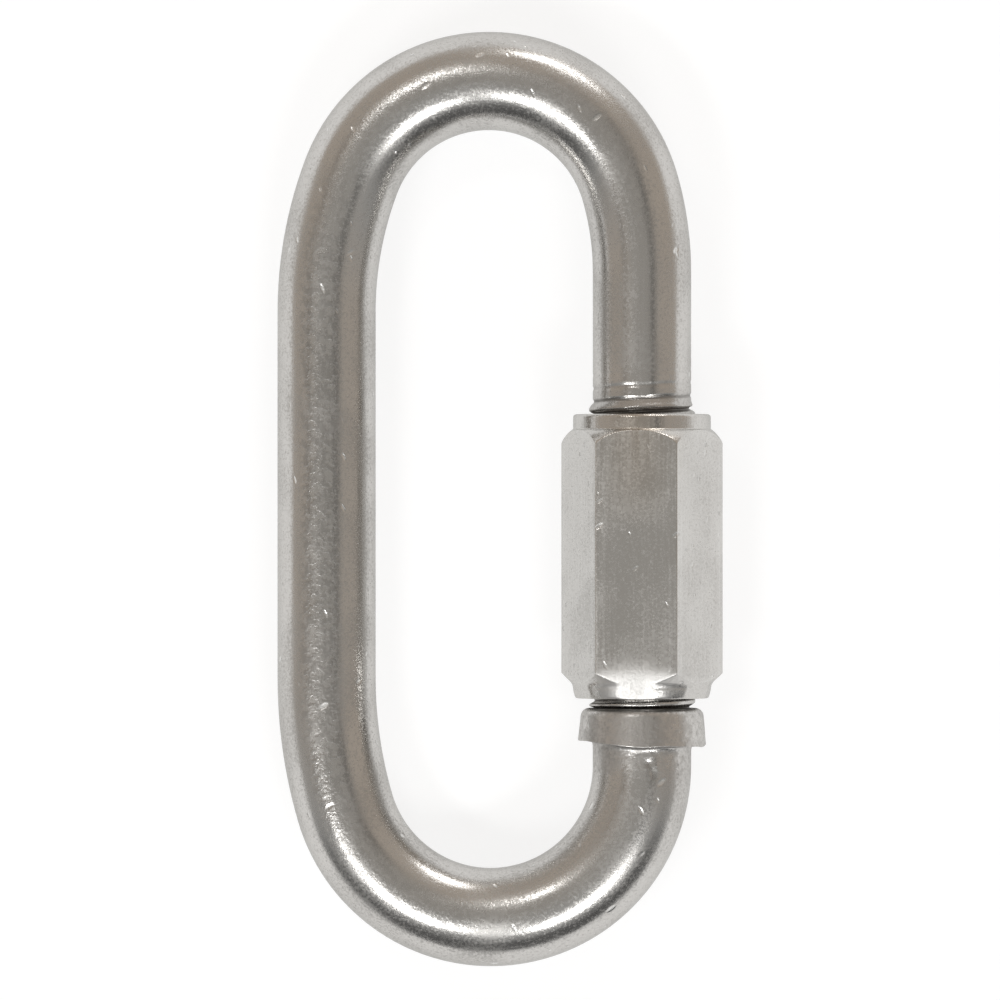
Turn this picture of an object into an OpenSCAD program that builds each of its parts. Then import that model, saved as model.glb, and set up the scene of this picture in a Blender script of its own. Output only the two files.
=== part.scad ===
// Chain quick link: a bent round rod with two threaded ends, closed by a long hexagonal sleeve nut.
// It lies as it comes to rest on a table, on its left limb and on the lowest edge of the nut.
// +X is towards the nut, +Y is along the limbs towards the upper bow, +Z is up.

/* [Link] */
// Overall length over both bows
link_l = 57; // [54:0.5:75]
// Diameter of the round rod
rod_d = 6; // [5:0.1:7]
// Distance between the axes of the two limbs
limb_spacing = 19.3; // [17:0.1:26]

/* [Bows] */
// How far the left limb stands outside the circle of the upper crown
upper_left_inset = 0.92; // [0.3:0.02:1.6]
// How far the right limb stands outside the circle of the upper crown
upper_right_inset = 0.38; // [0.2:0.02:1.2]
// How far the left limb stands outside the circle of the lower crown
lower_left_inset = 0.76; // [0.3:0.02:1.6]

/* [Collar] */
// Straight rod between the lower bow and the collar
collar_lift = 1.2; // [0.4:0.1:3]
// Height of the collar
collar_h = 2.3; // [1.5:0.1:4]
// How far the collar stands out from the rod at its upper end
collar_top_rise = 0.7; // [0.6:0.05:1.2]
// How far the collar stands out from the rod at its sharp lower edge
collar_base_rise = 0.9; // [0.7:0.05:1.4]
// Radius of the collar's rounded upper edge
collar_edge_r = 0.5; // [0.1:0.05:0.55]

/* [Gate] */
// Open gap between the two threaded ends
gate_gap = 7; // [6:0.1:8]
// Length of the lower threaded end inside the closed nut
lower_grip = 3.4; // [2.4:0.1:4]
// Length of the upper threaded end inside the closed nut
upper_grip = 6.9; // [5:0.1:8]
// How far the rolled thread's crest stands out from the rod
thread_rise = 0.25; // [0.15:0.05:0.4]
// Crest length that shows above the closed nut
thread_show = 0.3; // [0.1:0.05:1]
// Length over which the thread runs out into the rod
thread_runout = 0.6; // [0.3:0.05:1.5]
// Chamfer at the tips of both threaded ends
tip_chamfer = 0.5; // [0.2:0.05:0.8]

/* [Nut] */
// Gap between the closed nut and the collar
nut_gap = 0.6; // [0.3:0.05:1]
// Radial clearance between the nut's bore and the thread's crest
nut_clearance = 0.05; // [0.02:0.01:0.1]
// Wall between the nut's bore and its flats
nut_wall = 1; // [0.8:0.05:1.6]
// Turn of the nut's upper flat from level
nut_turn = 5.5; // [0:0.5:30]
// How far the turned ends lie inside the flats
spigot_step = 0.1; // [0.05:0.01:0.3]
// Length of the turned spigot at the upper end
upper_spigot_l = 0.9; // [0.4:0.1:2]
// Length of the crowned chamfer from the upper spigot to the corners
upper_chamfer_l = 1; // [0.5:0.1:1.2]
// Radius of the crowned chamfer's bulge
upper_chamfer_r = 2; // [1.6:0.1:5]
// Length of the turned spigot at the lower end
lower_spigot_l = 0.15; // [0.05:0.05:1]
// Radius of the cove from the lower spigot to the corners
lower_cove_r = 1.6; // [1.2:0.1:2.4]
// Countersink at both mouths of the bore
mouth_chamfer = 0.35; // [0.1:0.05:0.5]

/* [Hidden] */
$fn = 96;
steel = [0.72, 0.71, 0.69];
bright_steel = [0.79, 0.79, 0.78];

rod_r = rod_d / 2;
thread_r = rod_r + thread_rise;

bore_r = thread_r + nut_clearance;
flat_r = bore_r + nut_wall;
corner_r = flat_r / cos(30);
spigot_r = flat_r - spigot_step;
blank_r = spigot_r + lower_cove_r;
nut_l = lower_grip + gate_gap + upper_grip;

// The resting pose: the height of the nut's axis, the tilt of the link and the place of the nut's axis
nut_h = corner_r * cos(30 - nut_turn);
tilt = asin((nut_h - rod_r) / limb_spacing);
nut_reach = corner_r * cos(nut_turn);
nut_x = (rod_r + limb_spacing * cos(tilt) - nut_reach) / 2;

// Crowns of the bows: the radius of the rod's axis and the height of the centre above the link's middle
upper_r = (limb_spacing - upper_left_inset - upper_right_inset) / 2;
lower_r = (limb_spacing - lower_left_inset) / 2;
upper_crown_y = link_l / 2 - rod_r - upper_r;
lower_crown_y = -link_l / 2 + rod_r + lower_r;

// Stations along the right side, from the lower bow upwards
nut_y = lower_crown_y + collar_lift + collar_h + nut_gap;
gate_top = nut_y + lower_grip + gate_gap;
rod_y = nut_y + nut_l + thread_show + thread_runout;

// Angles that the flanks turn through, with short decimals as sines and cosines so that bends meet exactly
upper_left_sweep = asin(0.352);
upper_right_sweep = asin(0.28);
lower_left_sweep = asin(0.28);

// A flank arc is tangent to the crown and to the straight limb that stands outside the crown's circle by
// its inset. This is how far its radius passes the crown's radius.
function flank_gain(inset, sweep) = inset / (1 - cos(sweep));
upper_left_gain = flank_gain(upper_left_inset, upper_left_sweep);
upper_right_gain = flank_gain(upper_right_inset, upper_right_sweep);
lower_left_gain = flank_gain(lower_left_inset, lower_left_sweep);

// Where the limbs become straight
left_top = upper_crown_y - upper_left_gain * sin(upper_left_sweep);
left_bottom = lower_crown_y + lower_left_gain * sin(lower_left_sweep);
right_top = upper_crown_y - upper_right_gain * sin(upper_right_sweep);

// Angle by which a bend is turned past its ends before it is cut off square
bend_overrun = 5;

// Lays the plane of the link down to its resting tilt about the nut's axis
module laid_down() {
    translate([nut_x, 0, nut_h]) rotate([0, -tilt, 0]) children();
}

// Turns children that stand on +Z over to +Y, and moves them along it
module along_y(y) {
    translate([0, y, 0]) rotate([-90, 0, 0]) children();
}

// A straight run of the rod along +Y, with children carried on from its end
module straight(length) {
    along_y(0) cylinder(h = length, r = rod_r);
    translate([0, length, 0]) children();
}

// Moves children to the end of a bend that starts along +Y and turns towards -X
module bend_end(radius, sweep) {
    translate([-radius, 0, 0]) rotate(sweep) translate([radius, 0, 0]) children();
}

// A half space around a bend, on one side of the plane y = 0
module beside_bend(radius, ahead) {
    reach = radius + rod_d;
    translate([-radius - reach, ahead ? 0 : -reach, -rod_d]) cube([2 * reach, reach, 2 * rod_d]);
}

// A bend of the rod, cut off square at both ends, with children carried on from its end
module bend(radius, sweep) {
    intersection() {
        translate([-radius, 0, 0])
            rotate_extrude(start = -bend_overrun, angle = sweep + 2 * bend_overrun)
            translate([radius, 0]) circle(rod_r);
        beside_bend(radius, true);
        bend_end(radius, sweep) beside_bend(radius, false);
    }
    bend_end(radius, sweep) children();
}

// Half section of the upset collar: a slight flare to a sharp lower edge, and a rounded upper edge
module collar_outline() {
    base_r = rod_r + collar_base_rise;
    flare = atan2(collar_base_rise - collar_top_rise, collar_h);
    edge_z = collar_h - collar_edge_r;
    edge_x = base_r - edge_z * tan(flare) - collar_edge_r / cos(flare);
    side_x = edge_x + collar_edge_r * cos(flare);
    side_z = edge_z + collar_edge_r * sin(flare);
    polygon([[0, 0], [base_r, 0], [side_x, side_z], [edge_x, edge_z], [edge_x, collar_h], [0, collar_h]]);
    translate([edge_x, edge_z]) circle(collar_edge_r);
}

// Collar and lower threaded end, from the collar's lower edge up to the chamfered tip
module lower_end() {
    crest_l = collar_h + nut_gap + lower_grip - tip_chamfer;
    along_y(0) rotate_extrude() collar_outline();
    along_y(collar_h / 2) cylinder(h = crest_l - collar_h / 2, r = thread_r);
    along_y(crest_l) cylinder(h = tip_chamfer, r1 = thread_r, r2 = thread_r - tip_chamfer);
}

// Upper threaded end, from its chamfered tip to the run-out of the thread into the rod
module upper_end() {
    crest_l = upper_grip + thread_show - tip_chamfer;
    along_y(0) cylinder(h = tip_chamfer, r1 = thread_r - tip_chamfer, r2 = thread_r);
    along_y(tip_chamfer) cylinder(h = crest_l, r = thread_r);
    along_y(tip_chamfer + crest_l) cylinder(h = thread_runout, r1 = thread_r, r2 = rod_r);
}

// The bent rod, followed from its upper end over the upper bow, down the left limb and round the lower bow
module link_body() {
    color(steel) laid_down() {
        translate([0, gate_top, 0]) upper_end();
        translate([0, rod_y, 0])
            straight(right_top - rod_y)
            bend(upper_r + upper_right_gain, upper_right_sweep)
            bend(upper_r, 180 - upper_right_sweep - upper_left_sweep)
            bend(upper_r + upper_left_gain, upper_left_sweep)
            straight(left_top - left_bottom)
            bend(lower_r + lower_left_gain, lower_left_sweep)
            bend(lower_r, 180 - lower_left_sweep)
            straight(collar_lift)
            lower_end();
    }
}

// Half section of the turned nut blank: spigots at both ends, a cove below and a crowned chamfer above.
// The crown's circle passes through the shoulder of the upper spigot and through the upper end of a corner.
module nut_outline() {
    shoulder_z = nut_l - upper_spigot_l;
    chord_x = corner_r - spigot_r;
    chord = norm([chord_x, upper_chamfer_l]);
    inset = sqrt(pow(upper_chamfer_r, 2) - pow(chord / 2, 2)) / chord;
    crown_x = spigot_r + chord_x / 2 - inset * upper_chamfer_l;
    crown_z = shoulder_z - upper_chamfer_l / 2 - inset * chord_x;
    square([spigot_r, nut_l]);
    translate([crown_x, crown_z]) circle(upper_chamfer_r);
    difference() {
        translate([0, lower_spigot_l]) square([blank_r, crown_z - lower_spigot_l]);
        translate([blank_r, lower_spigot_l]) circle(lower_cove_r);
    }
}

// Countersink whose mouth is at z = 0 and which narrows to the bore along +Z
module mouth() {
    translate([0, 0, -mouth_chamfer])
        cylinder(h = 2 * mouth_chamfer, r1 = bore_r + 2 * mouth_chamfer, r2 = bore_r);
}

// The long hexagonal sleeve nut, closed over the gate
module hex_nut() {
    color(bright_steel) translate([nut_x, nut_y, nut_h]) rotate([0, -nut_turn, 0]) rotate([-90, 0, 0])
        difference() {
            intersection() {
                cylinder(h = nut_l, r = corner_r, $fn = 6);
                rotate_extrude() nut_outline();
            }
            translate([0, 0, -nut_l / 2]) cylinder(h = 2 * nut_l, r = bore_r);
            mouth();
            translate([0, 0, nut_l]) mirror([0, 0, 1]) mouth();
        }
}

link_body();
hex_nut();
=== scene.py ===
import math

import bpy
import numpy as np
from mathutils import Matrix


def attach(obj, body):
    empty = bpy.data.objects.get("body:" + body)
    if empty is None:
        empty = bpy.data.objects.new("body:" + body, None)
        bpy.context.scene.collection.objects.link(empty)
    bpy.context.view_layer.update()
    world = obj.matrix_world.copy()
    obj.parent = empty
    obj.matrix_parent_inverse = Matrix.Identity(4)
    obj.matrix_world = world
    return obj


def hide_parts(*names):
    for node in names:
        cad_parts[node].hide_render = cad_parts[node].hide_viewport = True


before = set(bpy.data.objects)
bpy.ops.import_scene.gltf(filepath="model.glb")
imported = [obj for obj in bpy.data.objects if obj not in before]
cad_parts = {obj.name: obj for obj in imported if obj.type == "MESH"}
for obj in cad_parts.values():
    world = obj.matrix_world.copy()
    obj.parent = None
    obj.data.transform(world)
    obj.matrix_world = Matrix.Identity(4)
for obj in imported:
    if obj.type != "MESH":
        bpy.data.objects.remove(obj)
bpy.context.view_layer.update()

# A chain quick link of stainless steel: a bent rod with a collar and two threaded ends, and its sleeve nut.
# Lengths are in millimetres until a mesh is written. +X is towards the nut, +Y along the limbs, +Z up.
MM = 0.001

ROD_R = 3.0
LIMB_SPACING = 19.3

# Nut: flats, turned ends and bore. Half a sextant is the angle from a corner to the middle of a flat.
HALF_SEXTANT = math.radians(30)
FLAT_R = 4.3
CORNER_R = FLAT_R / math.cos(HALF_SEXTANT)
NUT_TURN = math.radians(5.5)
NUT_L = 17.3
NUT_Y = -12.13
SPIGOT_R = 4.2
BORE_R = 3.3

# Resting pose: the link leans on its left limb and on the lowest edge of the nut
NUT_H = CORNER_R * math.cos(HALF_SEXTANT - NUT_TURN)
TILT = math.asin((NUT_H - ROD_R) / LIMB_SPACING)
NUT_X = (ROD_R + LIMB_SPACING * math.cos(TILT) - CORNER_R * math.cos(NUT_TURN)) / 2

# Right side: places of both tips and of the collar's lower edge along Y, and the collar's height
UPPER_TIP = -1.73
LOWER_TIP = -8.73
COLLAR_Y = -15.03
COLLAR_H = 2.3


def bend(radius, sweep):
    """Length and turn of a bend: radius times angle, and the angle."""
    return radius * math.radians(sweep), math.radians(sweep)


# The rod's axis from the upper tip round to the lower tip: length of each run, and the angle it turns by
RUNS = np.array([
    (13.84 - UPPER_TIP, 0.0),  # upper right limb
    bend(18.5, 16.2602),
    bend(9.0, 143.1301),  # crown of the upper bow
    bend(23.375, 20.6097),
    (22.35, 0.0),  # left limb
    bend(28.27, 16.2602),
    bend(9.27, 163.7398),  # crown of the lower bow
    (LOWER_TIP + 16.23, 0.0),  # collar and lower end
])
RUN_ENDS = np.concatenate([[0.0], np.cumsum(RUNS[:, 0])])

# Stations are lengths along the axis: its end, the end of the upper end's rows, and the collar's lower edge
ROD_L = RUN_ENDS[-1]
UPPER_END_L = 14.4
COLLAR_S = ROD_L - (LOWER_TIP - COLLAR_Y)

# Finely spaced points of the axis: heading turns evenly along each bend, and the place is its integral
AXIS_S = np.linspace(0.0, ROD_L, 60001)
HEADING = np.interp(AXIS_S, RUN_ENDS, np.pi / 2 + np.concatenate([[0.0], np.cumsum(RUNS[:, 1])]))
CURVATURE = np.gradient(HEADING, AXIS_S)


def running_integral(values, start):
    """Sum of the mean of neighbouring values times their spacing, from a starting value."""
    steps = (values[1:] + values[:-1]) / 2 * np.diff(AXIS_S)
    return start + np.concatenate([[0.0], np.cumsum(steps)])


AXIS_U = running_integral(np.cos(HEADING), 0.0)
AXIS_V = running_integral(np.sin(HEADING), UPPER_TIP)


def ease(x, low, high):
    """Smooth step: 0 below low, 1 above high, with level ends between (3t^2 - 2t^3)."""
    t = np.clip((x - low) / (high - low), 0.0, 1.0)
    return t * t * (3 - 2 * t)


def bell(x):
    """Bell curve: e to the power of minus the square of x."""
    return np.exp(-x**2)


def angle_from(turn, middle):
    """Angle from a middle, wrapped to half a turn either way: the angle of a point on the unit circle."""
    return np.angle(np.exp(1j * (turn - middle)))


def level_rows(values, turn):
    """One row for each value, the same in every column."""
    return np.asarray(values)[:, None] * np.ones_like(turn)


def lay_down(u, v, w):
    """From the plane of the link (u across from the nut's axis, v along, w square to it) to the resting
    pose: a turn by the tilt about the nut's axis, and a lift to the nut's place."""
    c, s = math.cos(TILT), math.sin(TILT)
    return np.stack([NUT_X + u * c - w * s, v, NUT_H + u * s + w * c], axis=-1)


def rod_surface(station, reach, turn):
    """A point of the rod: the axis at arc length station, plus reach times the cosine of turn outwards in
    the link's plane, plus reach times the sine of turn square to it."""
    heading = np.interp(station, AXIS_S, HEADING)
    out_u, out_v = np.sin(heading), -np.cos(heading)
    across = reach * np.cos(turn)
    u = np.interp(station, AXIS_S, AXIS_U) + across * out_u
    v = np.interp(station, AXIS_S, AXIS_V) + across * out_v
    return lay_down(u, v, reach * np.sin(turn))


# Thread: right-hand, with its pitch, its rise above the rod and the depth of its root on the lower end, the
# radius of both flat tips and of the rings on them, and the place of a crest on the front of each end
PITCH = 0.8
THREAD_RISE = 0.25
ROOT_DEPTH = 0.12
TIP_R = 2.75
TIP_RINGS = np.array([0.9, 1.8, 2.5, 2.68])
UPPER_CREST = 5.72
LOWER_CREST = -12.47


def ridge(v, turn, crest):
    """Height of a right-hand thread from 0 in its groove to 1 on its crest. The phase is the place along
    the axis over the pitch plus the angle over a full turn. A smooth step rounds its triangle wave, and one
    less the square of what it lacks makes the crest broad."""
    phase = (v - crest) / PITCH + (turn - np.pi / 2) / (2 * np.pi)
    triangle = np.abs((phase % 1.0) * 2 - 1)
    return 1 - (1 - ease(triangle, 0.05, 0.95)) ** 2


def groove(v, turn, crest):
    """A narrow groove between the crests: 1 along its bottom, and 0 where the ridge is higher than 0.45."""
    return 1 - ease(ridge(v, turn, crest), 0.0, 0.45)


# Run-out of the upper thread: places along Y between which its rise ends, its front is worn off, and faint
# ticks come and go, with their depth. Its groove's depth, and each loss of depth with its start and end.
RISE_OUT = (5.35, 6.05)
FRONT_OUT = (6.9, 7.4)
TICKS_IN = (6.6, 8.0)
TICKS_OUT = (10.0, 12.6)
TICK_DEPTH = 0.02
GROOVE_DEPTH = 0.16
GROOVE_LOSSES = ((0.10, 5.3, 6.2), (0.035, 6.3, 7.4), (0.025, 7.3, 8.1))


def upper_end_reach(v, turn):
    """Radius of the upper limb. Inside the nut it is a full thread. The thread's rise fades over the first
    millimetre above the nut, its groove fades over the next two, first on the front, and faint ticks go on
    along the outer side."""
    rise = THREAD_RISE * (1 - ease(v, *RISE_OUT))
    depth = GROOVE_DEPTH - sum(loss * ease(v, start, end) for loss, start, end in GROOVE_LOSSES)
    outer_side = bell(angle_from(turn, 0.2) / 0.3)
    ticks = TICK_DEPTH * ease(v, *TICKS_IN) * (1 - ease(v, *TICKS_OUT)) * outer_side
    front = bell(angle_from(turn, 1.65) / 0.6)
    left_over = 1 - 0.9 * ease(v, *FRONT_OUT) * front
    cut = (depth * left_over + ticks) * groove(v, turn, UPPER_CREST)
    full = ROD_R + rise * ridge(v, turn, UPPER_CREST) - cut
    return np.minimum(full, TIP_R + (v - UPPER_TIP))


def stub_reach(v, turn):
    """Radius of the lower threaded end: a full thread with a root at the collar and a chamfered tip."""
    root, crest, collar_top = ROD_R - ROOT_DEPTH, ROD_R + THREAD_RISE, COLLAR_Y + COLLAR_H
    full = root + (crest - root) * ridge(v, turn, LOWER_CREST)
    full = root + (full - root) * ease(v, collar_top - 0.02, collar_top + 0.16)
    return np.minimum(full, TIP_R + (LOWER_TIP - v))


def upper_end_rows(turn):
    """Station and radius of the rows of the upper end: a flat tip, then fine rows over the thread and wider
    ones on the plain rod."""
    thread_s = [np.arange(0.0, 0.6, 0.06), np.arange(0.6, 8.0, 0.085), np.arange(8.0, UPPER_END_L, 0.1)]
    thread_s = level_rows(np.concatenate(thread_s), turn)
    station = np.concatenate([level_rows(np.zeros(len(TIP_RINGS)), turn), thread_s])
    reach = np.concatenate([level_rows(TIP_RINGS, turn), upper_end_reach(thread_s + UPPER_TIP, turn)])
    return station, reach


# Small hollows and one swelling on the rod below the collar: depth, distance below the collar, angle round
# the rod, length, and width as an angle
DENTS = (
    (0.06, 1.0, 1.36, 0.22, 0.07),
    (0.05, 1.5, 1.28, 0.34, 0.06),
    (-0.03, 1.2, 1.22, 0.30, 0.05),
)


def plain_rod_rows(turn):
    """Station and radius of the rows of the plain rod: close on the bows, as their number grows with the
    bend, wide on the straight limb, and close again below the collar. A dent is its depth times a bell
    curve of the distance along the rod times one of the angle round it."""
    bow_rows, per_length = 185, 0.55 + 9 * CURVATURE
    count = np.concatenate([[0.0], np.cumsum(per_length[1:] * np.diff(AXIS_S))])
    first, last = np.interp([UPPER_END_L, COLLAR_S - 2.6], AXIS_S, count)
    bows = np.interp(np.linspace(first, last, bow_rows), count, AXIS_S)
    station = level_rows(np.concatenate([bows, COLLAR_S - np.arange(2.5, 0.8, -0.09)]), turn)
    reach = np.full_like(station, ROD_R)
    for depth, below, middle, length, width in DENTS:
        reach -= depth * bell((station - COLLAR_S + below) / length) * bell((turn - middle) / width)
    return station, reach


def collar_slant(turn):
    """How far the collar's lower face lies above its station: two slow waves round the rod."""
    return 0.11 - 0.165 * np.cos(turn) + 0.11 * np.cos(2 * turn)


def collar_rows(turn):
    """Station and radius of the rows of the collar: a fillet and the slanted lower face, its sharp edge
    with a burr, the flared side with slow waves of wear, the rounded upper edge, and the upper face."""
    slant = collar_slant(turn) + 0.03 * np.cos(5 * turn + 0.8) + 0.018 * np.cos(9 * turn + 2.1)
    wear = 0.018 * np.cos(2 * turn + 1.3) + 0.012 * np.cos(5 * turn)

    # rounded upper edge, flared side with its height, radius and loss per millimetre, and reach of the burr
    edge_r, edge_centre = 0.5, ROD_R + 0.24
    side_h, side_r, flare = COLLAR_H - edge_r, ROD_R + 0.9, 0.087
    burr_down, burr_out = 0.07, 0.06

    face = np.array([-0.75, -0.5, -0.32, -0.2, -0.12, -0.06, -0.02, 0.0, 0.0, 0.0, 0.0])[:, None]
    face_r = [3.0, 3.0, 3.005, 3.025, 3.06, 3.11, 3.18, 3.28, 3.5, 3.72, 3.83]
    edge = np.array([0.0, 0.03, 0.09, 0.2])[:, None]
    sharp_r = [3.88, 3.905, 3.895, 3.88]
    burr = bell(angle_from(turn, 0.32) / 0.16) * np.array([1.0, 1.0, 0.6, 0.2])[:, None]
    side = np.linspace(0.34, 1.74, 9)[:, None]
    bow = np.radians([5.0, 20, 35, 50, 65, 80, 90])[:, None]

    station = COLLAR_S + np.concatenate([
        face + slant,
        edge + slant * (1 - edge / 2) - burr_down * burr,
        side + slant * (1 - side / side_h),
        (side_h + edge_r * np.sin(bow)) * np.ones_like(turn),
        level_rows([COLLAR_H, COLLAR_H + 0.005, COLLAR_H + 0.01], turn),
    ])
    reach = np.concatenate([
        level_rows(face_r, turn),
        level_rows(sharp_r, turn) + burr_out * burr,
        side_r - flare * side + wear * ease(side, 0.34, 1.0),
        edge_centre + (edge_r + wear) * np.cos(bow),
        level_rows([3.12, 3.0, 2.9], turn),
    ])
    return station, reach


def lower_end_rows(turn):
    """Station and radius of the rows of the lower end: the thread above the collar, and a flat tip."""
    above_collar = np.concatenate([np.arange(2.34, 5.7, 0.07), np.arange(5.7, 6.28, 0.06), [6.3]])
    above_collar = level_rows(above_collar, turn)
    station = np.concatenate([COLLAR_S + above_collar, level_rows(np.full(len(TIP_RINGS), ROD_L), turn)])
    reach = np.concatenate([stub_reach(COLLAR_Y + above_collar, turn), level_rows(TIP_RINGS[::-1], turn)])
    return station, reach


def link_rows(turn):
    """Station and radius of every row of the link's grid, from the upper tip to the lower tip. A row has
    one value for each angle in turn, so that threads, the collar's slanted edge and its burr follow their
    own lines."""
    parts = [rows(turn) for rows in (upper_end_rows, plain_rod_rows, collar_rows, lower_end_rows)]
    station, reach = (np.concatenate(values) for values in zip(*parts))
    return station, reach


# Stations between which bruises begin above the upper thread, and come in and go out on the left limb
PAST_THREAD = (16.0, 20.0)
LIMB_IN = (42.0, 52.0)
LIMB_OUT = (76.0, 90.0)


def link_marks(station, reach, turn):
    """Marks on the link from 0 to 1. Painted shade: darker colour over the upper thread up to just above
    the nut, deeper in the threads' grooves, and in the corners on both sides of the collar, where shade
    falls.
    Forged: the collar, and the rod just below it. Bruised: the rod's upper side, most on the left limb."""
    above = station - COLLAR_S
    v_up, v_low = station + UPPER_TIP, station - ROD_L + LOWER_TIP
    # Painted shade: the upper thread up to just above the nut, the threads' grooves, and the collar's
    # corners
    painted_shade = (0.22 + 0.7 * groove(v_up, turn, UPPER_CREST)) * (1 - ease(v_up, 5.6, 7.4))
    painted_shade = painted_shade + 0.8 * groove(v_low, turn, LOWER_CREST) ** 3 * (station > COLLAR_S + COLLAR_H)
    painted_shade = painted_shade + bell((above - COLLAR_H - 0.02) / 0.05)
    painted_shade = painted_shade + 0.6 * bell((above + 0.03 - collar_slant(turn)) / 0.05) * (reach < 3.4)

    forged = ease(above, -2.6, -0.6) * (station < COLLAR_S + COLLAR_H)

    upper_side = 1 - ease(np.abs(turn - 1.52), 0.25, 0.52)
    plain_rod = ease(station, *PAST_THREAD) * (1 - ease(station, LIMB_OUT[1], COLLAR_S))
    left_limb = ease(station, *LIMB_IN) * (1 - ease(station, *LIMB_OUT))
    bruised = upper_side * plain_rod * (0.35 + 0.65 * left_limb)
    return {"painted_shade": np.clip(painted_shade, 0, 1), "forged": forged, "bruised": bruised}


def grid_faces(rows, columns, wrap_rows):
    """Quads between neighbouring rows and columns of a grid. Columns always wrap round, rows only if
    asked."""
    last = rows if wrap_rows else rows - 1
    i, j = np.meshgrid(np.arange(last), np.arange(columns), indexing="ij")
    up, side = (i + 1) % rows, (j + 1) % columns
    quads = np.stack([i * columns + j, i * columns + side, up * columns + side, up * columns + j], axis=-1)
    return quads.reshape(-1, 4)


def pole_faces(row, pole, columns):
    """Triangles from each edge of a row of columns vertices to one pole vertex."""
    j = np.arange(columns)
    return np.stack([row + j, row + (j + 1) % columns, np.full(columns, pole)], axis=-1)


def facing_out(points, quads, *caps):
    """One list of the quads and caps, all turned round if the volume that the quads enclose is negative: a
    sixth of the sum of each triangle's corner times the cross product of the other two."""
    a, b, c, d = (points[quads[:, k]] for k in range(4))
    volume = np.einsum("ij,ij->", a, np.cross(b, c) + np.cross(c, d))
    order = 1 if volume > 0 else -1
    return [face for faces in (quads, *caps) for face in faces[:, ::order].tolist()]


def make_piece(name, points, faces, marks):
    """A smooth-shaded mesh object at the origin, from points in millimetres, with its marks as point
    attributes."""
    mesh = bpy.data.meshes.new(name)
    mesh.from_pydata((points * MM).tolist(), [], faces)
    mesh.polygons.foreach_set("use_smooth", np.ones(len(mesh.polygons), dtype=bool))
    for mark, values in marks.items():
        kind, field = ("FLOAT_VECTOR", "vector") if values.ndim == 2 else ("FLOAT", "value")
        attribute = mesh.attributes.new(mark, kind, "POINT")
        attribute.data.foreach_set(field, values.astype(np.float32).ravel())
    mesh.update()
    piece = bpy.data.objects.new(name, mesh)
    bpy.context.scene.collection.objects.link(piece)
    return piece


def build_link():
    """The bent rod as one closed grid: the link's rows carried round the axis, with a pole at each tip. Its
    marks are straightened, the place on the rod as if it were straight, and those of link_marks, with none
    at the poles."""
    columns = 144
    turn = np.linspace(0, 2 * np.pi, columns, endpoint=False)
    station, reach = link_rows(turn)
    skin = rod_surface(station, reach, turn).reshape(-1, 3)
    tips = rod_surface(np.array([0.0, ROD_L]), np.zeros(2), np.zeros(2))
    points = np.concatenate([skin, tips])

    straight = np.stack([reach * np.cos(turn), reach * np.sin(turn), station], axis=-1).reshape(-1, 3)
    marks = {"straightened": np.concatenate([straight, [[0, 0, 0], [0, 0, ROD_L]]]) * MM}
    for mark, values in link_marks(station, reach, turn).items():
        marks[mark] = np.concatenate([values.ravel(), [0, 0]])

    quads = grid_faces(len(station), columns, wrap_rows=False)
    start = pole_faces(0, len(skin), columns)[:, ::-1]
    end = pole_faces(len(skin) - columns, len(skin) + 1, columns)
    return make_piece("bent_rod_link", points, facing_out(points, quads, start, end), marks)


# Nut: mouths of the bore, cove at the lower end, rounded corners between the flats, crowned chamfer at the
# upper end, least radius of its outside, and direction of the middle of its upper flat
MOUTH_R = BORE_R + 0.35
COVE_FOOT = 0.55
COVE_R = 0.7
COVE_SWEEP = math.radians(47)
CORNER_ROUND = 0.10
SHOULDER = NUT_L - 0.9
CROWN_R = 2.0
CROWN_L = 1.0
OUTSIDE_R = BORE_R + 0.4
FRONT = math.pi / 2 + NUT_TURN


def hexagon_reach(lean):
    """Radius of a hexagon with rounded corners, by the angle from the nearest corner: the corner's arc near
    it, and the flat's distance over the cosine of the angle from the flat's middle beyond it. Beside the
    corner the flat falls off by the square of its nearness, as drawn bar does."""
    centre = (FLAT_R - CORNER_ROUND) / math.cos(HALF_SEXTANT)
    touch = math.atan2(CORNER_ROUND / 2, centre + CORNER_ROUND * math.cos(HALF_SEXTANT))
    arc = centre * np.cos(lean) + np.sqrt(np.maximum(CORNER_ROUND**2 - (centre * np.sin(lean)) ** 2, 0.0))
    flat = FLAT_R / np.cos(HALF_SEXTANT - np.abs(lean))
    fall, fall_w = 0.02, math.radians(5.5)
    drawn_edge = fall * np.clip(1 - np.abs(lean) / fall_w, 0, 1) ** 2
    return np.where(np.abs(lean) < touch, arc, flat) - drawn_edge


def cove_height(reach):
    """Height above the nut's lower end at which the turned cove reaches a radius: an arc, then a cone."""
    arc_top = SPIGOT_R + COVE_R * (1 - math.cos(COVE_SWEEP))
    lean = np.arccos(np.clip(1 - (reach - SPIGOT_R) / COVE_R, math.cos(COVE_SWEEP), 1.0))
    return COVE_FOOT + COVE_R * np.sin(lean) + np.maximum(reach - arc_top, 0.0) / math.tan(COVE_SWEEP)


def crown_height(reach):
    """Height at which the crowned chamfer has a radius: a circle through the spigot's shoulder and the
    corner."""
    chord_x = CORNER_R - SPIGOT_R
    chord = math.hypot(chord_x, CROWN_L)
    inset = math.sqrt(CROWN_R**2 - (chord / 2) ** 2) / chord
    centre_r = SPIGOT_R + chord_x / 2 - inset * CROWN_L
    centre_z = SHOULDER - CROWN_L / 2 - inset * chord_x
    return centre_z + np.sqrt(CROWN_R**2 - (reach - centre_r) ** 2)


def flat_fall(height):
    """How far a flat falls towards the axis near the lower end: nothing above 2 mm, a square curve down to
    1 mm, and a straight slope of 14 degrees below."""
    start, slope = 2.0, 0.25
    below = np.maximum(start - height, 0.0)
    return slope * np.where(below < 1.0, below**2 / 2, below - 0.5)


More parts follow.
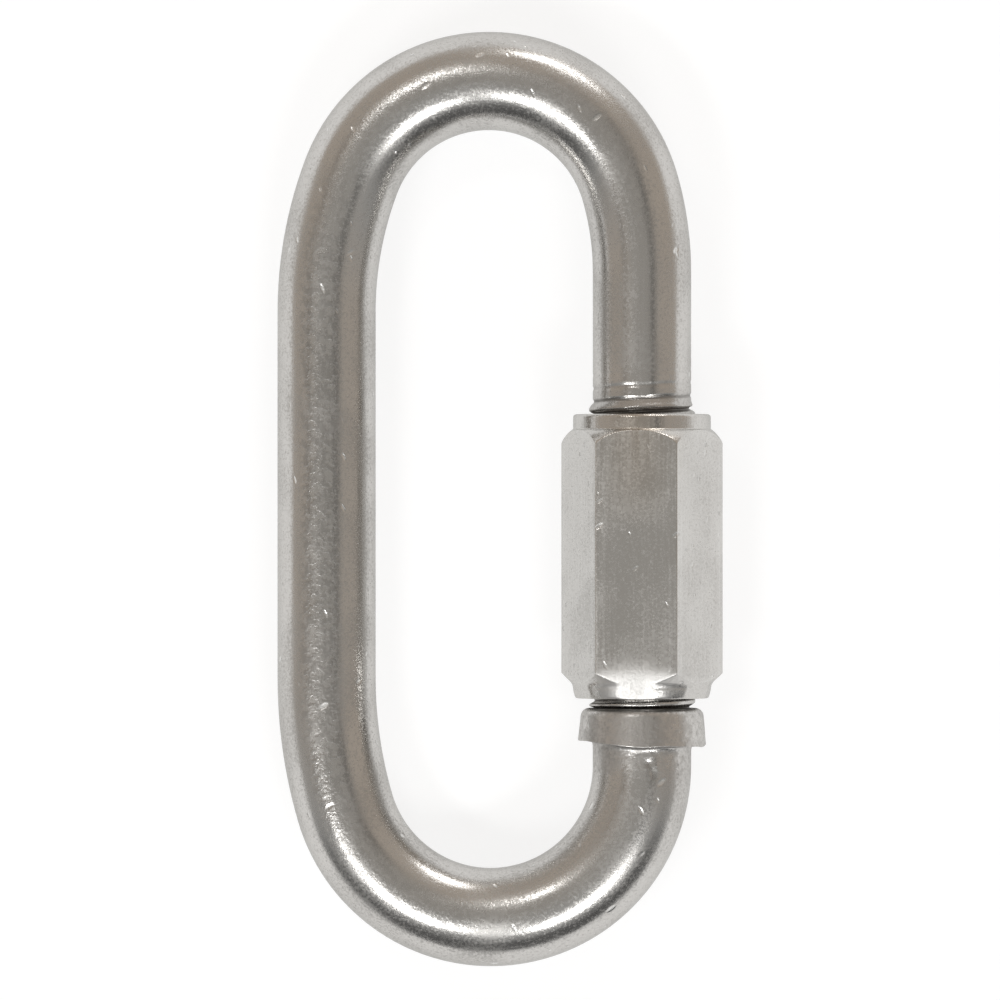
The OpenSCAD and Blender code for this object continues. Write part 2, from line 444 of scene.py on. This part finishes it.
def bore_reach(height, turn):
    """Radius of the bore: plain at the lower end, and a right-hand thread above, at the pitch of the
    rod's."""
    inner_r, thread_h = BORE_R - 0.18, 0.22
    full = inner_r + thread_h * ridge(height + NUT_Y, turn, UPPER_CREST)
    threaded = ease(height, 4.6, 5.2) * (1 - ease(height, NUT_L - 0.5, NUT_L - 0.35))
    return BORE_R + (full - BORE_R) * threaded


def nut_rows(lean, angle):
    """Height and radius of every row of the nut's grid: from the lower mouth out along the end face, up the
    cove, the flats and the crown, in over the upper end face, and down the threaded bore. Rows follow the
    curves in which the cove and the crown cut the flats, and the flats then fall off at the lower end."""
    hexagon = hexagon_reach(lean)
    parts = []

    def add_rows(height, reach):
        """Adds rows with a height and a radius for each column, or with one for all columns."""
        parts.append(np.broadcast_arrays(height, reach, lean)[:2])

    def add_levels(height, reach):
        """Adds level rings, one for each height and radius."""
        add_rows(np.asarray(height)[:, None], np.asarray(reach)[:, None])

    # lower mouth, end face, rounded rim and barrel-shaped spigot
    mouth_h = np.array([0.33, 0.2, 0.06, 0.015, 0.0])
    mouth_r = np.array([BORE_R, BORE_R + 0.15, MOUTH_R - 0.06, MOUTH_R - 0.012, MOUTH_R + 0.03])
    add_levels(mouth_h, mouth_r)
    add_levels([0.0], [SPIGOT_R - 0.4])
    rim, rim_r = np.radians([0.0, 24, 48, 68]), 0.1
    add_levels(rim_r * (1 - np.cos(rim)), SPIGOT_R - 0.232 + rim_r * np.sin(rim))
    barrel = np.linspace(0.12, COVE_FOOT - 0.03, 7)
    fall = 1 - barrel / COVE_FOOT
    add_levels(barrel, SPIGOT_R - 0.14 * fall * (0.75 + 0.25 * fall))

    # cove, flats with close rows at both ends, and crown
    cove = SPIGOT_R + (hexagon - SPIGOT_R) * np.linspace(0.0, 1.0, 13)[:, None] ** 2
    add_rows(cove_height(cove), cove)
    low, high = cove_height(hexagon), crown_height(hexagon)
    share = np.array([0, 0, 0.015, 0.03, 0.05, 0.075, 0.1, 0.13, 0.25, 0.4, 0.6, 0.8, 1, 1])[:, None]
    inset = np.array([0.04] + [0.12] * 12 + [0.04])[:, None]
    add_rows(low + inset + (high - low - 2 * inset) * share, hexagon)
    crown = hexagon + (SPIGOT_R + 0.02 - hexagon) * np.linspace(0.0, 1.0, 9)[:, None]
    add_rows(crown_height(crown), crown)

    # upper spigot, rounded rim, end face and mouth, and bore
    add_levels([SHOULDER + 0.03, SHOULDER + 0.08, SHOULDER + 0.4, NUT_L - 0.26], [SPIGOT_R] * 4)
    rim, rim_r = np.radians([0.0, 22, 45, 67, 90]), 0.2
    add_levels(NUT_L - rim_r + rim_r * np.sin(rim), SPIGOT_R - rim_r + rim_r * np.cos(rim))
    add_levels([NUT_L], [SPIGOT_R - 0.24])
    add_levels(NUT_L - mouth_h[::-1], mouth_r[::-1])
    bore = np.concatenate([np.arange(NUT_L - 0.4, 4.5, -0.095), np.linspace(4.3, 0.4, 6)])[:, None]
    add_rows(bore, bore_reach(bore, angle - TILT))

    height, reach = (np.concatenate(values) for values in zip(*parts))
    worn = (FLAT_R - flat_fall(height)) / np.cos(HALF_SEXTANT - np.abs(lean))
    return height, np.where(reach > OUTSIDE_R, np.minimum(reach, worn), reach)


def nut_marks(height, reach, lean, angle):
    """Marks on the nut from 0 to 1. Rubbed: the edges of the flats, and a line beside each corner. Turned:
    the lathe-cut ends, the upper one less. Painted shade: the bore, darkened. Scuffs and painted glare: the
    lower end of the upper flat, worn, and lightened there as a painted highlight. Painted warm reflection:
    the upper end of the upper flat, tinted warm brown as a reflection of the warm room."""
    hexagon = hexagon_reach(lean)
    low, high = cove_height(hexagon), crown_height(hexagon)
    outside = reach > OUTSIDE_R
    on_flats = (height > low) & (height < high) & outside
    corner_gap = np.abs(np.sin(lean)) * CORNER_R
    edge_gap = np.minimum(np.abs(height - low), np.abs(height - high))
    edge_w, line_gap, line_w, front_w = 0.12, 0.4, 0.13, 0.42
    edges = np.exp(-np.minimum(corner_gap, edge_gap) / edge_w)
    beside = 0.6 * bell((corner_gap - line_gap) / line_w)
    lathe_cut = (reach < hexagon - 0.005) & (reach > BORE_R + 0.3)
    front = outside * bell(angle_from(angle, FRONT) / front_w)
    return {
        "rubbed": np.where(on_flats, np.maximum(edges, beside), 0.0),
        "turned": lathe_cut * np.where(height < NUT_L / 2, 1.0, 0.15),
        # Painted shade: the bore darkened
        "painted_shade": np.where(reach < BORE_R + 0.2, 0.35, 0.0),
        # Worn lower end of the upper flat, whose colour is also lightened as a painted highlight
        "scuff_and_painted_glare": (1 - ease(height, 0.9, 3.0)) * front,
        # Painted reflection: the upper end of the upper flat, tinted warm brown like the warm room
        "painted_warm_reflection": ease(height, NUT_L - 7.0, NUT_L - 2.0) * front,
    }


def build_nut():
    """The sleeve nut as one grid closed both ways: the nut's rows carried round its axis, in columns that
    lie close beside each corner and wide on the flats, with the marks of nut_marks."""
    half = np.array([0, 0.3, 0.6, 0.95, 1.6, 2.8, 4.5, 6.5, 9, 11.5, 14, 16.5, 19, 21.5, 24, 26.5, 28.6])
    sextant = np.concatenate([-half[:0:-1], half, [30.0]])
    lean = np.tile(np.radians(sextant), 6)
    angle = FRONT + HALF_SEXTANT + np.repeat(np.arange(6) * np.pi / 3, len(sextant)) + lean
    height, reach = nut_rows(lean, angle)
    points = [NUT_X + reach * np.cos(angle), NUT_Y + height, NUT_H + reach * np.sin(angle)]
    points = np.stack(points, axis=-1).reshape(-1, 3)
    faces = facing_out(points, grid_faces(len(height), len(lean), wrap_rows=True))
    marks = {mark: values.ravel() for mark, values in nut_marks(height, reach, lean, angle).items()}
    return make_piece("hex_sleeve_nut", points, faces, marks)


# Materials


def connect(tree, node, inputs):
    """Sets inputs of a node to plain values, or links them to other sockets."""
    for key, value in inputs.items():
        if isinstance(value, bpy.types.NodeSocket):
            tree.links.new(value, node.inputs[key])
        else:
            node.inputs[key].default_value = value


def add_node(tree, kind, inputs=None, **settings):
    """A new node with its settings and its inputs."""
    node = tree.nodes.new(kind)
    for key, value in settings.items():
        setattr(node, key, value)
    connect(tree, node, inputs or {})
    return node


def arithmetic(tree, operation, *values):
    """Result socket of one Math node."""
    return add_node(tree, "ShaderNodeMath", dict(enumerate(values)), operation=operation).outputs[0]


def add_up(tree, first, *others):
    """Sum of value times weight over pairs of a socket and a number."""
    total = arithmetic(tree, "MULTIPLY", *first)
    for value, weight in others:
        total = arithmetic(tree, "MULTIPLY_ADD", value, weight, total)
    return total


def remap(tree, value, low, high, to_low=0.0, to_high=1.0):
    """Result socket of a smooth Map Range node."""
    inputs = {"Value": value, "From Min": low, "From Max": high, "To Min": to_low, "To Max": to_high}
    node = add_node(tree, "ShaderNodeMapRange", inputs, interpolation_type="SMOOTHSTEP")
    return node.outputs["Result"]


def blend(tree, share, first, second):
    """Colour socket that goes from first to second by share."""
    node = add_node(tree, "ShaderNodeMix", {0: share, 6: first, 7: second}, data_type="RGBA")
    return node.outputs[2]


def new_group(name, inputs, outputs):
    """An empty shader node group with named sockets, and its input sockets and output node."""
    group = bpy.data.node_groups.new(name, "ShaderNodeTree")
    for socket, kind, value in inputs:
        made = group.interface.new_socket(name=socket, in_out="INPUT", socket_type=kind)
        if value is not None:
            made.default_value = value
    for socket in outputs:
        group.interface.new_socket(name=socket, in_out="OUTPUT", socket_type="NodeSocketFloat")
    return group, group.nodes.new("NodeGroupInput").outputs, group.nodes.new("NodeGroupOutput")


def use_group(tree, group, inputs):
    """Outputs of a group node in a material, with its named inputs."""
    return add_node(tree, "ShaderNodeGroup", inputs, node_tree=group).outputs


def random_cells(tree, place, scale, core_low, core_high):
    """Cells of a Voronoi texture: a core that is 1 near each cell's point and fades to 0 between two
    distances, and a random value for each cell."""
    cells = add_node(tree, "ShaderNodeTexVoronoi", {"Vector": place, "Scale": scale})
    core = remap(tree, cells.outputs["Distance"], core_low, core_high, 1.0, 0.0)
    lot = add_node(tree, "ShaderNodeSeparateColor", {0: cells.outputs["Color"]}).outputs[0]
    return core, lot


def peened_grain():
    """Node group: what tumbling leaves on steel. Peel is a fine uneven surface, Speckle its dull higher
    spots, Pits are small round spots in a share of the cells of a fine mesh, and Dull Patches is a slow
    cloud in which the spots lie closer."""
    group, given, result = new_group(
        "peened_grain",
        [("Place", "NodeSocketVector", None), ("Pits Per Metre", "NodeSocketFloat", 5000.0),
         ("Pitted Share", "NodeSocketFloat", 0.5)],
        ["Peel", "Speckle", "Pits", "Dull Patches"],
    )
    place, size = given["Place"], given["Pits Per Metre"]
    fine_scale, slow_scale = (arithmetic(group, "MULTIPLY", size, share) for share in (1.2, 0.05))
    peel = add_node(group, "ShaderNodeTexNoise", {
        "Vector": place, "Scale": fine_scale, "Detail": 2.0, "Roughness": 0.65,
    }).outputs["Fac"]
    slow = add_node(group, "ShaderNodeTexNoise", {
        "Vector": place, "Scale": slow_scale, "Detail": 1.0,
    }).outputs["Fac"]
    dull = remap(group, slow, 0.36, 0.66)
    speckle = remap(group, peel, arithmetic(group, "MULTIPLY_ADD", dull, -0.08, 0.44), 0.76)
    core, lot = random_cells(group, place, size, 0.05, 0.6)
    closeness = arithmetic(group, "MULTIPLY_ADD", dull, 0.9, 0.35)
    share = arithmetic(group, "MULTIPLY", given["Pitted Share"], closeness)
    pits = arithmetic(group, "MULTIPLY", core, arithmetic(group, "LESS_THAN", lot, share))
    connect(group, result, {"Peel": peel, "Speckle": speckle, "Pits": pits, "Dull Patches": dull})
    return group


def handling_nicks():
    """Node group: coarse and fine nicks in two directions. Each layer turns and stretches the place, takes
    the distance to the nearest cell point as a thin core, and keeps the cells whose random value is low."""
    group, given, result = new_group(
        "handling_nicks",
        [("Place", "NodeSocketVector", None), ("Nicks Per Metre", "NodeSocketFloat", 1500.0),
         ("Kept Share", "NodeSocketFloat", 0.1)],
        ["Nicks"],
    )
    layers = []
    for turn, stretch in ((0.62, (3.6, 1.6, 1.6)), (2.0, (2.8, 1.0, 1.0))):
        turned = add_node(group, "ShaderNodeMapping", {
            "Vector": given["Place"], "Rotation": (0.0, 0.0, turn), "Scale": stretch,
        }, vector_type="TEXTURE").outputs[0]
        core, lot = random_cells(group, turned, given["Nicks Per Metre"], 0.05, 0.14)
        kept = arithmetic(group, "LESS_THAN", lot, given["Kept Share"])
        layers.append(arithmetic(group, "MULTIPLY", core, kept))
    connect(group, result, {"Nicks": arithmetic(group, "MAXIMUM", *layers)})
    return group


def drawn_marks():
    """Node group: fine marks, as noise. A place that is stretched along one axis makes them parallel."""
    group, given, result = new_group(
        "drawn_marks",
        [("Place", "NodeSocketVector", None), ("Stretch", "NodeSocketVector", (1.0, 1.0, 1.0)),
         ("Marks Per Metre", "NodeSocketFloat", 6000.0)],
        ["Marks"],
    )
    scaled = add_node(group, "ShaderNodeVectorMath", {0: given["Place"], 1: given["Stretch"]},
                      operation="MULTIPLY").outputs[0]
    noise = add_node(group, "ShaderNodeTexNoise", {
        "Vector": scaled, "Scale": given["Marks Per Metre"], "Detail": 2.0, "Roughness": 0.65,
    }).outputs["Fac"]
    connect(group, result, {"Marks": noise})
    return group


GRAIN, NICKS, MARKS = peened_grain(), handling_nicks(), drawn_marks()


def new_material(name):
    """A material, its tree, and its bare Principled BSDF."""
    material = bpy.data.materials.new(name)
    material.use_nodes = True
    return material, material.node_tree, material.node_tree.nodes["Principled BSDF"]


def mark_of(tree, name, output="Fac"):
    """Output socket of a mesh mark."""
    return add_node(tree, "ShaderNodeAttribute", attribute_name=name).outputs[output]


STEEL = (0.585, 0.572, 0.553, 1.0)
STEEL_DULL = (0.375, 0.364, 0.348, 1.0)
STEEL_DRAWN = (0.635, 0.624, 0.604, 1.0)
# Warm brown, painted on the nut's upper front as a reflection of the warm room
STEEL_WARM_REFLECTION = (0.524, 0.481, 0.431, 1.0)
# Bright steel: nicks and rubbed edges, and a painted highlight on the nut's lower front
STEEL_BRIGHT = (0.74, 0.735, 0.72, 1.0)
STEEL_RIM = (0.72, 0.72, 0.71, 1.0)
# Near black: painted shade in grooves, corners and the bore, and the forged skin's darker mottle
SHADE_AND_SKIN_DARK = (0.055, 0.048, 0.042, 1.0)

# Relief that a height of 1 stands for, in metres, and the roughest that steel gets
RELIEF = 0.000004
ROUGHEST = 0.7


def finish_steel(tree, steel, tone, rough, height):
    """Joins colour, roughness and one bump to a fully metallic shader."""
    bump = add_node(tree, "ShaderNodeBump", {"Height": height, "Strength": 1.0, "Distance": RELIEF})
    connect(tree, steel, {
        "Base Color": tone, "Roughness": arithmetic(tree, "MINIMUM", rough, ROUGHEST),
        "Normal": bump.outputs[0], "Metallic": 1.0, "Specular Tint": STEEL_RIM,
    })


def tumbled_rod_steel():
    """Stainless rod, polished by tumbling: peened spots, dull patches, faint marks along the rod, nicks,
    painted shade in the grooves and corners, a mottled forged skin at the collar, and bruises on the upper
    side."""
    material, tree, steel = new_material("tumbled_rod_steel")
    place = add_node(tree, "ShaderNodeTexCoord").outputs["Object"]
    peel, speckle, pits, dull = use_group(tree, GRAIN, {
        "Place": place, "Pits Per Metre": 5200.0, "Pitted Share": 0.28})
    nicks = use_group(tree, NICKS, {"Place": place, "Nicks Per Metre": 1050.0, "Kept Share": 0.5})[0]
    along = use_group(tree, MARKS, {
        "Place": mark_of(tree, "straightened", "Vector"), "Stretch": (1.0, 1.0, 0.05),
        "Marks Per Metre": 4000.0})[0]
    mottle = use_group(tree, MARKS, {"Place": place, "Marks Per Metre": 2400.0})[0]
    painted_shade, forged, bruised = (mark_of(tree, mark) for mark in ("painted_shade", "forged", "bruised"))
    forged_skin = arithmetic(tree, "MULTIPLY", forged, remap(tree, mottle, 0.38, 0.66))
    bruises = arithmetic(tree, "MULTIPLY", bruised, remap(tree, mottle, 0.4, 0.6))

    dulled = add_up(tree, (dull, 0.2), (pits, 0.25), (speckle, 0.5), (bruises, 0.7))
    tone = blend(tree, dulled, STEEL, STEEL_DULL)
    tone = blend(tree, nicks, tone, STEEL_BRIGHT)
    # Painted shade darkens grooves and corners; the forged skin's mottle is its own darker tone
    shade_share = arithmetic(tree, "MULTIPLY", painted_shade, 0.85)
    shade_and_forged_mottle = arithmetic(tree, "MAXIMUM", shade_share, arithmetic(tree, "MULTIPLY", forged_skin, 0.17))
    tone = blend(tree, shade_and_forged_mottle, tone, SHADE_AND_SKIN_DARK)
    rough = add_up(tree, (along, 0.12), (dull, 0.06), (speckle, 0.18), (pits, 0.1), (painted_shade, 0.2),
                   (forged, 0.07), (forged_skin, 0.08), (bruises, 0.06))
    rough = arithmetic(tree, "ADD", rough, 0.13)
    height = add_up(tree, (peel, 1.5), (nicks, -6.0), (along, 0.8), (forged_skin, 2.0), (bruises, 1.8))
    finish_steel(tree, steel, tone, rough, height)
    return material


def bright_nut_steel():
    """Stainless hexagon bar: drawn marks along the flats, lathe marks and scuffs at the turned ends, rubbed
    edges, nicks, a painted highlight on the worn lower front, painted shade in the bore, and a painted warm
    reflection on the front towards the upper end."""
    material, tree, steel = new_material("bright_nut_steel")
    place = add_node(tree, "ShaderNodeTexCoord").outputs["Object"]
    peel, speckle, pits, dull = use_group(tree, GRAIN, {
        "Place": place, "Pits Per Metre": 5600.0, "Pitted Share": 0.08})
    nicks = use_group(tree, NICKS, {"Place": place, "Nicks Per Metre": 1250.0, "Kept Share": 0.75})[0]
    drawn = use_group(tree, MARKS, {
        "Place": place, "Stretch": (1.0, 0.04, 1.0), "Marks Per Metre": 5000.0})[0]
    lathe = use_group(tree, MARKS, {
        "Place": place, "Stretch": (0.03, 1.0, 0.03), "Marks Per Metre": 9000.0})[0]
    rubbed, turned, scuff_and_painted_glare, painted_shade, painted_warm_reflection = (
        mark_of(tree, mark) for mark in ("rubbed", "turned", "scuff_and_painted_glare", "painted_shade", "painted_warm_reflection"))
    tool_marks = arithmetic(tree, "MULTIPLY", lathe, turned)
    scuffs = arithmetic(tree, "MULTIPLY", peel, scuff_and_painted_glare)
    streaks = arithmetic(tree, "MULTIPLY", rubbed, remap(tree, drawn, 0.36, 0.62))

    dulled = add_up(tree, (dull, 0.08), (pits, 0.2), (speckle, 0.2), (drawn, 0.3))
    tone = blend(tree, dulled, STEEL_DRAWN, STEEL_DULL)
    # Painted reflection: warm brown over the upper end of the upper flat
    tone = blend(tree, painted_warm_reflection, tone, STEEL_WARM_REFLECTION)
    # Nicks and rubbed edges are brighter wear; the worn lower front is also lightened as a painted
    # highlight
    wear_and_glare = arithmetic(tree, "MAXIMUM", arithmetic(tree, "MAXIMUM", nicks, scuff_and_painted_glare), streaks)
    tone = blend(tree, arithmetic(tree, "MULTIPLY", wear_and_glare, 0.7), tone, STEEL_BRIGHT)
    # Painted shade: the bore darkened towards near black
    tone = blend(tree, arithmetic(tree, "MULTIPLY", painted_shade, 0.85), tone, SHADE_AND_SKIN_DARK)
    rough = add_up(tree, (drawn, 0.18), (dull, 0.07), (speckle, 0.16), (pits, 0.1), (scuff_and_painted_glare, 0.18),
                   (turned, 0.04))
    rough = arithmetic(tree, "ADD", rough, 0.1)
    height = add_up(tree, (peel, 1.3), (nicks, -5.5), (drawn, 2.2), (tool_marks, 0.8), (scuffs, 2.4))
    finish_steel(tree, steel, tone, rough, height)
    return material


link = build_link()
link.data.materials.append(tumbled_rod_steel())
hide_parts("link_body")
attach(link, "link")

nut = build_nut()
nut.data.materials.append(bright_nut_steel())
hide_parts("hex_nut")
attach(nut, "nut")


# Stage, in metres: a white table with a low white rim far off, a dim warm room, and four soft lamps
PAPER = (0.28, 0.28, 0.28, 1.0)
WHITE = (1.0, 1.0, 1.0, 1.0)
WHITE_ADDED = 0.785


def white_table():
    """A round floor that rises to a low rim 6 m away: a profile of radius and height carried round the
    vertical axis, with a pole in the middle. It takes light and shadow as pale paper does, and plain white
    is added to it for the camera and for mirrored rays, so that the steel shows it too."""
    columns, rim_r, rim_h, bend_r, floor_z = 96, 6.0, 0.36, 0.2, -0.0001
    lift = np.radians(np.linspace(0, 90, 10))
    turn = np.linspace(0, 2 * np.pi, columns, endpoint=False)
    radius = np.concatenate([[0.5, 2.5], rim_r - bend_r + bend_r * np.sin(lift), [rim_r]])
    height = np.concatenate([[0.0, 0.0], bend_r * (1 - np.cos(lift)), [rim_h]]) + floor_z
    radius, height = level_rows(radius, turn), level_rows(height, turn)
    ring = np.stack([radius * np.cos(turn), radius * np.sin(turn), height], axis=-1).reshape(-1, 3)
    points = np.concatenate([ring, [[0.0, 0.0, floor_z]]])
    faces = grid_faces(len(radius), columns, wrap_rows=False)[:, ::-1].tolist()
    faces += pole_faces(0, len(ring), columns).tolist()
    mesh = bpy.data.meshes.new("white_table")
    mesh.from_pydata(points.tolist(), [], faces)
    table = bpy.data.objects.new("white_table", mesh)
    bpy.context.scene.collection.objects.link(table)

    material, tree, paper = new_material("white_paper")
    path = add_node(tree, "ShaderNodeLightPath").outputs
    seen = arithmetic(tree, "MAXIMUM", path["Is Camera Ray"], path["Is Glossy Ray"])
    seen = arithmetic(tree, "MAXIMUM", seen, path["Is Transmission Ray"])
    connect(tree, paper, {
        "Base Color": PAPER, "Roughness": 1.0, "Specular IOR Level": 0.0,
        "Emission Color": WHITE, "Emission Strength": arithmetic(tree, "MULTIPLY", seen, WHITE_ADDED),
    })
    mesh.materials.append(material)


WARM_WALL = (0.505, 0.447, 0.39, 1.0)
PLAIN_WALL = (0.41, 0.41, 0.405, 1.0)
CEILING = (0.365, 0.36, 0.345, 1.0)
DARK_END = (0.11, 0.11, 0.11, 1.0)
DARK_STREAK = (0.06, 0.06, 0.06, 1.0)

# Dark streaks along the limbs: degrees off the zenith towards +X, half width in degrees, and strength
STREAKS = ((-43.0, 6.0, 0.5), (25.0, 9.0, 0.62))


def room_light():
    """World light by direction: warm towards +Y, neutral towards -Y and round the zenith, a dark end low
    towards -Y, and two dark streaks beside the zenith along the limbs."""
    world = bpy.data.worlds.new("room")
    bpy.context.scene.world = world
    world.use_nodes = True
    tree = world.node_tree
    place = add_node(tree, "ShaderNodeTexCoord").outputs["Generated"]
    x, y, z = add_node(tree, "ShaderNodeSeparateXYZ", {0: place}).outputs
    tone = blend(tree, remap(tree, y, 0.10, -0.35), WARM_WALL, PLAIN_WALL)
    tone = blend(tree, remap(tree, z, 0.7, 0.95, 0.0, 0.7), tone, CEILING)
    dark_end = arithmetic(tree, "MULTIPLY", remap(tree, y, -0.24, -0.6), remap(tree, z, 0.7, 0.42))
    tone = blend(tree, dark_end, tone, DARK_END)
    side_lean = arithmetic(tree, "ARCTAN2", x, z)
    near = remap(tree, arithmetic(tree, "ABSOLUTE", y), 0.3, 0.6, 1.0, 0.0)
    for lean, width, strength in STREAKS:
        away = arithmetic(tree, "ABSOLUTE", arithmetic(tree, "SUBTRACT", side_lean, math.radians(lean)))
        streak = remap(tree, away, math.radians(width * 0.35), math.radians(width), strength, 0.0)
        tone = blend(tree, arithmetic(tree, "MULTIPLY", streak, near), tone, DARK_STREAK)
    connect(tree, tree.nodes["Background"], {"Color": tone})


# Lamps: name, degrees off the zenith, heading in degrees from +X, height and breadth in degrees, brightness
LAMPS = (
    ("lamp_far_low", 72.5, 73.0, 10.0, 36.0, 13.0),
    ("lamp_far_high", 34.5, 124.0, 7.5, 19.0, 14.0),
    ("lamp_near_left", 37.0, 228.0, 11.0, 35.0, 21.0),
    ("lamp_near_right", 39.0, 293.0, 11.0, 35.0, 21.0),
)
LAMP_REACH = 0.6


def soft_lamp(name, lean, heading, rise, breadth, radiance):
    """An oval area lamp at a fixed reach from the object, lean degrees off the zenith and heading degrees
    from +X, aimed at the origin, and so many degrees tall and broad. Its power is its brightness times its
    area times pi, and it fades smoothly from its middle to its edge."""
    a, b = math.radians(lean), math.radians(heading)
    lamp = bpy.data.lights.new(name, "AREA")
    lamp.shape = "ELLIPSE"
    lamp.size = 2 * LAMP_REACH * math.tan(math.radians(rise / 2))
    lamp.size_y = 2 * LAMP_REACH * math.tan(math.radians(breadth / 2))
    area = math.pi * lamp.size * lamp.size_y / 4
    lamp.energy = radiance * math.pi * area
    lamp.use_nodes = True
    tree = lamp.node_tree
    spot = add_node(tree, "ShaderNodeNewGeometry").outputs["Parametric"]
    across, along, _ = add_node(tree, "ShaderNodeSeparateXYZ", {0: spot}).outputs
    spot = add_node(tree, "ShaderNodeCombineXYZ", {0: across, 1: along}).outputs[0]
    off_middle = add_node(tree, "ShaderNodeVectorMath", {0: spot, 1: (0.5, 0.5, 0.0)},
                          operation="DISTANCE").outputs["Value"]
    connect(tree, tree.nodes["Emission"], {"Strength": remap(tree, off_middle, 0.12, 0.5, 1.0, 0.0)})
    made = bpy.data.objects.new(name, lamp)
    direction = (math.sin(a) * math.cos(b), math.sin(a) * math.sin(b), math.cos(a))
    made.location = [LAMP_REACH * part for part in direction]
    made.rotation_euler = (0.0, a, b)
    made.visible_camera = False
    bpy.context.scene.collection.objects.link(made)


def photo_camera():
    """Camera straight above the middle of the link, so that the frame is 61 mm wide at the rod's axis."""
    height, frame_w, axis_z, middle_y = 600.0, 61.0, 3.8, -0.06
    lens = bpy.data.cameras.new("camera")
    lens.sensor_width = 36.0
    lens.lens = lens.sensor_width * (height - axis_z) / frame_w
    lens.clip_start, lens.clip_end = 0.005, 20.0
    camera = bpy.data.objects.new("camera", lens)
    camera.location = (0.0, middle_y * MM, height * MM)
    bpy.context.scene.collection.objects.link(camera)
    bpy.context.scene.camera = camera


white_table()
room_light()
for lamp_values in LAMPS:
    soft_lamp(*lamp_values)
photo_camera()
bpy.context.scene.view_settings.view_transform = "Standard"
